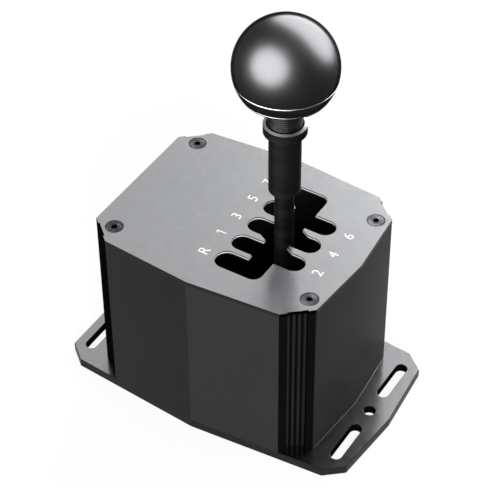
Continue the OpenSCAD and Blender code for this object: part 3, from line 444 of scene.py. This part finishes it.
def lathe(profile, steps, centre=(0, 0)):
    # profile: (radius, height, finish of the stretch that starts here), lengths in mm
    work = bmesh.new()
    verts = [work.verts.new((p[0] * mm, 0, p[1] * mm)) for p in profile]
    lines = [work.edges.new((a, b)) for a, b in zip(verts, verts[1:])]
    bmesh.ops.spin(work, geom=verts + lines, cent=(0, 0, 0), axis=(0, 0, 1), dvec=(0, 0, 0),
                   angle=2 * math.pi, steps=steps, use_merge=True, use_duplicate=False)
    bmesh.ops.remove_doubles(work, verts=work.verts, dist=latheGap)
    bmesh.ops.recalc_face_normals(work, faces=work.faces)
    for face in work.faces:
        middle = face.calc_center_median()
        r, z = math.hypot(middle.x, middle.y) / mm, middle.z / mm
        gaps = []
        for i, (a, b) in enumerate(zip(profile, profile[1:])):
            a2, b2, p = Vector(a[:2]), Vector(b[:2]), Vector((r, z))
            along = b2 - a2
            t = max(0, min(1, (p - a2).dot(along) / max(along.length_squared, noLength)))
            gaps.append(((a2 + along * t - p).length, i))
        face.material_index = profile[min(gaps)[1]][2]
    bmesh.ops.translate(work, vec=(centre[0] * mm, centre[1] * mm, 0), verts=work.verts)
    return work


# top plate

screwPlaces = [(side * x, y) for x, y in ((32.6, -56.25), (37.8, 51.5)) for side in (-1, 1)]
topBox = [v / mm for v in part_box("top_plate")]
plateSetup = {
    "edge": 0.12,           # fine cut round the outline
    "gateEdge": 0.1,        # fine cut round the gate
    "paintedHighlightBand": (0.5, 1.1),       # painted highlight: the pale band painted on the gate's wall, down from the top
    "screwClear": 5.4,      # radius about a screw that holds the edge of its hole
    "gateShare": 0.35,      # the gate's reach to each side, as a share of the plate's width
    "gateSpan": (-46, 0),   # the gate's reach along
    "outlineRadius": 58,    # the outline lies beyond this radius
    "outlineSide": 47,      # or farther out to the side than this
    "wallRise": 0.5,        # a wall's normal rises less than this
    "slant": 0.3,           # a slanted wall's normal has more than this along both axes
    "topRise": 0.95,        # the top face's normal rises more than this
    "footBand": 0.1,        # height of what counts as the underside
}


def buildTopPlate(s):
    work = copyNode("top_plate")
    low, high = topBox[0].z, topBox[1].z
    gateReach = (topBox[1].x - topBox[0].x) * s["gateShare"]
    near, far = s["gateSpan"]
    bandTop, bandFoot = s["paintedHighlightBand"]

    def inGate(p):
        return abs(p.x) < gateReach and near < p.y < far

    def onTop(a, b):
        return min(a.z, b.z) > high - levelGap

    def atScrew(p):
        return min((p.xy - Vector(place)).length for place in screwPlaces) < s["screwClear"]

    def onOutline(p):
        return p.xy.length > s["outlineRadius"] or abs(p.x) > s["outlineSide"]

    def isOuter(a, b):
        middle = (a + b) / 2
        return onTop(a, b) and not inGate(middle) and not atScrew(middle) and onOutline(middle)

    for drop in s["paintedHighlightBand"]:
        cutLevel(work, high - drop)
    # finishes: 0 grey top, 1 black wall and underside, 2 bright band painted on the gate wall as painted
    # highlight, 3 fine cuts and slanted walls, near black as painted shade
    for face in work.faces:
        middle = face.calc_center_median() / mm
        if abs(face.normal.z) < s["wallRise"]:
            if inGate(middle):
                # painted highlight: the wall between the two cut levels takes the pale band
                face.material_index = 2 if bandTop < high - middle.z < bandFoot else 1
            else:
                slanted = min(abs(face.normal.x), abs(face.normal.y)) > s["slant"]
                # painted shade: slanted walls outside the gate take the near-black finish
                face.material_index = 3 if slanted else 1
        elif middle.z < low + s["footBand"]:
            face.material_index = 1
        # painted shade: countersinks and other slopes take the near-black finish
        elif face.normal.z < s["topRise"]:
            face.material_index = 3
    bevelEdges(work, pickEdges(work, isOuter), s["edge"], 1, 3)
    gate = pickEdges(work, lambda a, b: onTop(a, b) and inGate((a + b) / 2))
    bevelEdges(work, gate, s["gateEdge"], 1, 3)
    addPiece(work, "topPlate", "base",
             ["blastedGrey", "blastedBlack", "paintedWallHighlight", "paintedShadeLine"], ["top_plate"], 15)


buildTopPlate(plateSetup)

# base plate

baseSetup = {
    "edge": 0.3,            # round of the outline
    "slotEdge": 0.2,        # round of the slots and round holes
    "slotSide": 38.5,       # the slots and holes lie within this reach to each side
    "slotSpan": (71, 78.5),         # and between these places along
    "endAlong": 80,         # the outline's ends lie beyond this place along
    "flange": (42, 60),     # a flange's corners lie beyond these places across and along
    "side": 48,             # the sides lie beyond this place across
    "topRise": 0.5,         # the top face's normal rises more than this
}


def buildBasePlate(s):
    work = copyNode("base_plate")
    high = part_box("base_plate")[1].z / mm
    near, far = s["slotSpan"]
    across, along = s["flange"]

    def inSlot(p):
        return abs(p.x) < s["slotSide"] and near < abs(p.y) < far

    def onFace(a, b):
        return any(abs(a.z - z) < levelGap and abs(b.z - z) < levelGap for z in (high, 0))

    def onOutline(p):
        x, y = abs(p.x), abs(p.y)
        return y > s["endAlong"] or x > across and y > along or x > s["side"]

    def isOuter(a, b):
        middle = (a + b) / 2
        return onFace(a, b) and not inSlot(middle) and onOutline(middle)

    # finishes: 0 grey top, 1 black sides, edges and underside, 2 slot walls, near black with no gloss as
    # painted shade
    for face in work.faces:
        if face.normal.z > s["topRise"]:
            face.material_index = 0
        else:
            # painted shade: the slot walls take the near-black glossless finish
            slotWall = abs(face.normal.z) < s["topRise"] and inSlot(face.calc_center_median() / mm)
            face.material_index = 2 if slotWall else 1
    rims = pickEdges(work, lambda a, b: onFace(a, b) and inSlot((a + b) / 2))
    bevelEdges(work, rims, s["slotEdge"], 2, 1)
    bevelEdges(work, pickEdges(work, isOuter), s["edge"], 2, 1)
    addPiece(work, "basePlate", "base", ["baseGrey", "blastedBlack", "paintedShadeBlack"],
             ["base_plate"], 15)


buildBasePlate(baseSetup)

# housing

housingSetup = {
    "corner": 0.3,          # round where a facet meets a ribbed recess
    "rib": 0.12,            # fine cut on the ribs
    "foot": 0.35,           # flare of the ends' lowest rim onto the base plate
    "corners": ((49, 49.4), (37.2, 62.9)),          # where the facets meet the recess
    "cornerGap": 0.3,       # how near a corner an edge is taken as on it
    "ribAcross": (37.4, 49),        # the recess lies between these places across
    "ribAlong": (47, 62.6),         # between these along
    "ribLine": (11.8, 13.5, 7.55),  # and beyond the line x / first + y / second = third
    "ribSharper": 60,       # degrees that a rib's edge turns more than
    "facing": 0.9,          # a face looks along an axis where its normal has more than this of it
    "sideFrom": 45,         # the sides lie beyond this place across
    "endFrom": 62,          # the ends lie beyond this place along
    "rimFrom": 62.5,        # and their lowest rim beyond this one
    "rimFacing": 0.95,      # with normals that look along at least this much
    "rimRise": 0.3,         # the flare's normal rises more than this
    "lean": 0.1,            # a vertex on a wall has a normal that leans out more than this
}


def buildHousing(s):
    work = copyNode("housing")
    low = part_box("housing")[0].z / mm
    acrossNear, acrossFar = s["ribAcross"]
    alongNear, alongFar = s["ribAlong"]
    lineX, lineY, lineAt = s["ribLine"]

    def isUpright(a, b):
        return abs(a.x - b.x) < levelGap and abs(a.y - b.y) < levelGap

    def atCorner(p):
        gap = s["cornerGap"]
        return any(abs(abs(p.x) - x) < gap and abs(abs(p.y) - y) < gap for x, y in s["corners"])

    def atRibs(p):
        x, y = abs(p.x), abs(p.y)
        return acrossNear < x < acrossFar and alongNear < y < alongFar and x / lineX + y / lineY > lineAt

    corners = pickEdges(work, lambda a, b: isUpright(a, b) and atCorner(a))
    bevelEdges(work, corners, s["corner"], 8)
    ribs = pickEdges(work, lambda a, b: isUpright(a, b) and atRibs(a), s["ribSharper"])
    bevelEdges(work, ribs, s["rib"], 1)
    # the ends' lowest rim flares out onto the base plate
    cutLevel(work, low + s["foot"])
    work.normal_update()
    for vert in work.verts:
        outward = vert.normal.xy.normalized() if vert.normal.xy.length > s["lean"] else Vector((0, 0))
        facesOut = outward.y * vert.co.y > 0 and abs(outward.y) > s["rimFacing"]
        if facesOut and abs(vert.co.y) / mm > s["rimFrom"] and vert.co.z / mm < low + levelGap:
            vert.co.xy += outward * s["foot"] * mm
    work.normal_update()
    # finishes: 0 black, 1 ribs (near black, painted shade), 2 the two facets painted lighter as painted
    # light, 3 ends, 4 flare
    for face in work.faces:
        middle = face.calc_center_median() / mm
        # painted shade: the ribbed recess takes the near-black glossless finish
        if atRibs(middle):
            face.material_index = 1
        # painted light: the side facets where x and y share a sign take the lighter black
        elif abs(face.normal.x) > s["facing"] and middle.x * middle.y > 0 and abs(middle.x) > s["sideFrom"]:
            face.material_index = 2
        elif face.normal.z > s["rimRise"] and middle.z < low + s["foot"]:
            face.material_index = 4
        elif abs(face.normal.y) > s["facing"] and abs(middle.y) > s["endFrom"]:
            face.material_index = 3
    addPiece(work, "housingShell", "base",
             ["blastedBlack", "paintedShadeBlack", "paintedLitBlack", "endBlack", "edgeLine"], ["housing"], 8)


buildHousing(housingSetup)

# screws with turned heads and hex sockets

screwSetup = {
    "headRadius": 4.6, "rim": 0.3, "headHeight": 1.9, "shankRadius": 2.5, "length": 16.0, "tip": 0.4,
    "socketFlat": 2.8, "socketDepth": 1.7, "socketEdge": 0.1,
    "rings": 3,             # turned rings on the head
    "ringFrom": 0.75, "ringMargin": 1.0,    # from the socket to the first ring, and both margins
    "ringDepth": 0.025, "steps": 48,
    "ringRun": (0.12, 0.32, 0.44),          # where a ring reaches its depth, leaves it and ends
}


def screwProfile(s):
    flat, deep, edge = s["socketFlat"] / 2, s["socketDepth"], s["socketEdge"]
    shank, tip, end = s["shankRadius"], s["tip"], -s["length"]
    # finish 1 paints the socket near black, as painted shade
    points = [(0, -deep, 1), (flat, -deep, 1), (flat, -edge, 1), (flat + edge, 0, 0)]
    start = flat + s["ringFrom"]
    step = (s["headRadius"] - flat - s["ringMargin"]) / s["rings"]
    into, out, past = s["ringRun"]
    low = -s["ringDepth"]
    for i in range(s["rings"]):
        r = start + i * step
        points += [(r, 0, 0), (r + into, low, 0), (r + out, low, 0), (r + past, 0, 0)]
    # finish 1 paints the head's outer rim ring near black, as painted shade
    points += [(s["headRadius"] - s["rim"], 0, 1), (s["headRadius"], 0, 1), (shank, -s["headHeight"], 0),
               (shank, tip + end, 0), (shank - tip, end, 0), (0, end, 0)]
    return points


def buildScrews(s, name, node, places, height, flip):
    joined = bmesh.new()
    for x, y in places:
        work = lathe(screwProfile(s), s["steps"])
        reach = s["socketFlat"] / 2
        for vert in work.verts:
            r = vert.co.xy.length / mm
            if abs(r - reach) < levelGap and vert.co.z / mm > -s["socketDepth"] - levelGap:
                # the round socket is pushed out to a hexagon
                turn = math.degrees(math.atan2(vert.co.y, vert.co.x)) % 60 - 30
                vert.co.xy *= 1 / math.cos(math.radians(turn))
        if flip:
            over = Matrix.Rotation(math.pi, 3, "X")
            bmesh.ops.rotate(work, cent=(0, 0, 0), matrix=over, verts=work.verts)
        bmesh.ops.translate(work, vec=(x * mm, y * mm, height * mm), verts=work.verts)
        moveInto(joined, work)
    addPiece(joined, name, "base", ["screwSteel", "paintedShadeLine"], [node], 20)


buildScrews(screwSetup, "plateScrews", "top_screws", screwPlaces, topBox[1].z, False)
buildScrews(screwSetup, "undersideScrews", "base_screws", screwPlaces, 0, True)

# lever

gateY = -23.0           # the lever's place along
turnSteps = 96          # steps of a full turn
leverSetup = {
    "rod": {"radius": 4.85, "edge": 0.8, "steps": 64},
    "sleeve": {"radius": 7.85, "edge": 0.4, "bore": 4.87, "mouth": 5.5, "mouthDepth": 0.6, "stud": 6.0,
               "studRun": 22.0, "roof": 1.6},
    "collar": {"radius": 10.55, "bore": 6.05, "rim": 1.6, "rimDrop": 0.5, "rimEdge": 0.1, "seat": 1.2,
               "foot": 0.35},
    "neck": {"radius": 8.4, "edge": 0.2, "bore": 6.05, "boreSpare": 0.3, "core": 7.0, "coreEdge": 0.5,
             "ringFrom": 2.0, "ringMargin": 1.0, "ringPitch": 1.1, "ringDepth": 0.07,
             "ringRun": (0.1, 0.3, 0.4)},       # where a groove reaches its depth, leaves it and ends
}


def zRange(node):
    low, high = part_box(node)
    return low.z / mm, high.z / mm


def buildRod(s):
    low, high = zRange("lever_rod")
    r, c = s["radius"], s["edge"]
    work = lathe([(0, low, 0), (r - c, low, 0), (r, low + c, 0), (r, high - c, 0), (r - c, high, 0),
                  (0, high, 0)], s["steps"], (0, gateY))
    addPiece(work, "leverRod", "lever", ["rodBlack"], ["lever_rod"])


def buildSleeve(s):
    low, high = zRange("lever_sleeve")
    r, c, bore, mouth, stud = s["radius"], s["edge"], s["bore"], s["mouth"], s["stud"]
    top = high - s["studRun"]
    roof = top - s["roof"]
    step = low + s["mouthDepth"]
    work = lathe([(mouth, low, 0), (r - c, low, 1), (r, low + c, 0), (r, top, 0), (stud, top, 0),
                  (stud, high, 0), (0, high, 0), (0, roof, 0), (bore, roof, 0), (bore, step, 1),
                  (mouth, step, 1), (mouth, low, 0)], turnSteps, (0, gateY))
    addPiece(work, "leverSleeve", "lever", ["turnedBlack", "blackOxide"], ["lever_sleeve"])


def buildCollar(s):
    low, high = zRange("lever_collar")
    r, bore, foot, edge = s["radius"], s["bore"], s["foot"], s["rimEdge"]
    inner = r - s["rim"]
    floor = high - s["seat"]
    work = lathe([(bore, low, 0), (r - foot, low, 0), (r, low + foot, 0), (r, high - s["rimDrop"], 1),
                  (inner + edge, high, 0), (inner, high - edge, 0), (inner, floor, 0), (bore, floor, 0),
                  (bore, low, 0)], turnSteps, (0, gateY))
    addPiece(work, "leverCollar", "lever", ["turnedBlack", "collarLine"], ["lever_collar"])


def buildNeck(s):
    low, high = zRange("knob_neck")
    seat = zRange("knob_base")[0]
    r, bore, core, edge = s["radius"], s["bore"], s["core"], s["edge"]
    inner = r - s["ringDepth"]
    coreEdge = s["coreEdge"]
    deep = zRange("lever_sleeve")[1] + s["boreSpare"]
    into, out, end = s["ringRun"]
    points = [(bore, low, 0), (r - edge, low, 0), (r, low + edge, 0)]
    z = low + s["ringFrom"]
    while z < seat - s["ringMargin"]:
        points += [(r, z, 0), (inner, z + into, 0), (inner, z + out, 0), (r, z + end, 0)]
        z += s["ringPitch"]
    points += [(r, seat, 0), (core, seat, 0), (core, high - coreEdge, 0), (core - coreEdge, high, 0),
               (0, high, 0), (0, deep, 0), (bore, deep, 0), (bore, low, 0)]
    work = lathe(points, turnSteps, (0, gateY))
    addPiece(work, "knobNeck", "lever", ["turnedBlack"], ["knob_neck"], 20)


buildRod(leverSetup["rod"])
buildSleeve(leverSetup["sleeve"])
buildCollar(leverSetup["collar"])
buildNeck(leverSetup["neck"])

# knob

knobSetup = {
    "radius": 25.0,
    "flat": 14.0, "bandBottom": 12.4, "bandTop": 5.4,       # down from the ball's middle
    "edge": 0.6,            # the bright cut at the top of the base and of the band
    "bore": 7.02, "boreSpare": 0.02,
    "steps": 128, "ballSteps": 44, "ringSteps": 10,
}


def arcPoints(radius, low, high, count):
    # the ball's outline between two heights from its middle
    a, b = math.asin(low / radius), math.asin(high / radius)
    turns = [a + (b - a) * i / count for i in range(count + 1)]
    return [(radius * math.cos(t), radius * math.sin(t), 0) for t in turns]


def raised(points, z):
    return [(r, h + z, m) for r, h, m in points]


def buildKnob(s):
    z = zRange("knob_ball")[1] - s["radius"]
    roof = zRange("knob_neck")[1] - z + s["boreSpare"]
    ball = [(0, roof, 0), (s["bore"], roof, 0), (s["bore"], -s["bandTop"], 0)]
    ball += arcPoints(s["radius"], -s["bandTop"], s["radius"], s["ballSteps"])
    addPiece(lathe(raised(ball, z), s["steps"], (0, gateY)), "knobBall", "lever",
             ["satinBlack"], ["knob_ball"], 60)
    for name, node, low, high in (("knobBand", "knob_band", -s["bandBottom"], -s["bandTop"]),
                                  ("knobBase", "knob_base", -s["flat"], -s["bandBottom"])):
        edgeRadius = math.sqrt(s["radius"] ** 2 - high ** 2)
        shape = [(s["bore"], low, 0)] + arcPoints(s["radius"], low, high - s["edge"], s["ringSteps"])
        shape[-1] = (shape[-1][0], shape[-1][1], 1)
        shape += [(edgeRadius - s["edge"], high, 0), (s["bore"], high, 0), (s["bore"], low, 0)]
        addPiece(lathe(raised(shape, z), s["steps"], (0, gateY)), name, "lever",
                 ["satinBlack", "edgeLine"], [node], 25)


buildKnob(knobSetup)
print("lever and knob ready")

# numbers beside the gate

legendSetup = {
    "upper": {"R": -29.5, "1": -14.4, "3": 0.0, "5": 15.4, "7": 30.0},
    "lower": {"2": -15.0, "4": 0.0, "6": 15.5},
    "upperY": 4.3, "lowerY": -50.4, "height": 5.3, "weight": -0.004, "thick": 0.04, "sunk": 0.01,
    "one": [(0.0, 0.0), (0.11, 0.0), (0.11, 0.86), (0.11, 1.0), (0.0, 1.0), (-0.24, 0.86), (-0.24, 0.74),
            (0.0, 0.86)],      # outline of the figure 1, as shares of its height
}


def drawnOne(s):
    work = bmesh.new()
    work.faces.new([work.verts.new((x, y, 0)) for x, y in s["one"]])
    return work


def typedMark(s, mark):
    curve = bpy.data.curves.new("mark", "FONT")
    curve.body = mark
    curve.size = 1.0
    curve.offset = s["weight"]
    curve.resolution_u = 6
    holder = bpy.data.objects.new("mark", curve)
    bpy.context.scene.collection.objects.link(holder)
    bpy.context.view_layer.update()
    flat = bpy.data.meshes.new_from_object(holder.evaluated_get(bpy.context.evaluated_depsgraph_get()))
    bpy.data.objects.remove(holder)
    work = bmesh.new()
    work.from_mesh(flat)
    bpy.data.meshes.remove(flat)
    return work


def buildLegends(s):
    joined = bmesh.new()
    rows = [(mark, x, s["upperY"]) for mark, x in s["upper"].items()]
    rows += [(mark, x, s["lowerY"]) for mark, x in s["lower"].items()]
    for mark, x, y in rows:
        work = drawnOne(s) if mark == "1" else typedMark(s, mark)
        xs, ys = [v.co.x for v in work.verts], [v.co.y for v in work.verts]
        scale = s["height"] / (max(ys) - min(ys))
        middle = Vector(((max(xs) + min(xs)) / 2, (max(ys) + min(ys)) / 2, 0))
        bmesh.ops.translate(work, vec=-middle, verts=work.verts)
        bmesh.ops.scale(work, vec=(scale * mm,) * 3, verts=work.verts)
        raisedFaces = bmesh.ops.extrude_face_region(work, geom=work.faces[:])
        top = [g for g in raisedFaces["geom"] if isinstance(g, bmesh.types.BMVert)]
        bmesh.ops.translate(work, vec=(0, 0, s["thick"] * mm), verts=top)
        bmesh.ops.recalc_face_normals(work, faces=work.faces)
        bmesh.ops.translate(work, vec=(x * mm, y * mm, (topBox[1].z - s["sunk"]) * mm),
                            verts=work.verts)
        moveInto(joined, work)
    addPiece(joined, "gateNumbers", "base", ["legendPaint"])


buildLegends(legendSetup)
print("numbers ready")

# each softbox shows in some pieces only, so that no plate or wall mirrors the knob's

leverPieces = ["knobBall", "knobBand", "knobBase", "knobNeck", "leverSleeve", "leverRod"]
meshPieces = [piece.name for piece in bpy.data.objects if piece.type == "MESH"]
otherPieces = [name for name in meshPieces if name not in leverPieces]


def lightOnly(lampName, pieceNames):
    lit = bpy.data.collections.new(lampName + "Lit")
    for name in pieceNames:
        lit.objects.link(bpy.data.objects[name])
    bpy.data.objects[lampName].light_linking.receiver_collection = lit


lightOnly("softboxLeft", leverPieces + ["leverCollar"])
lightOnly("softboxKnob", leverPieces)
lightOnly("softboxRight", otherPieces)
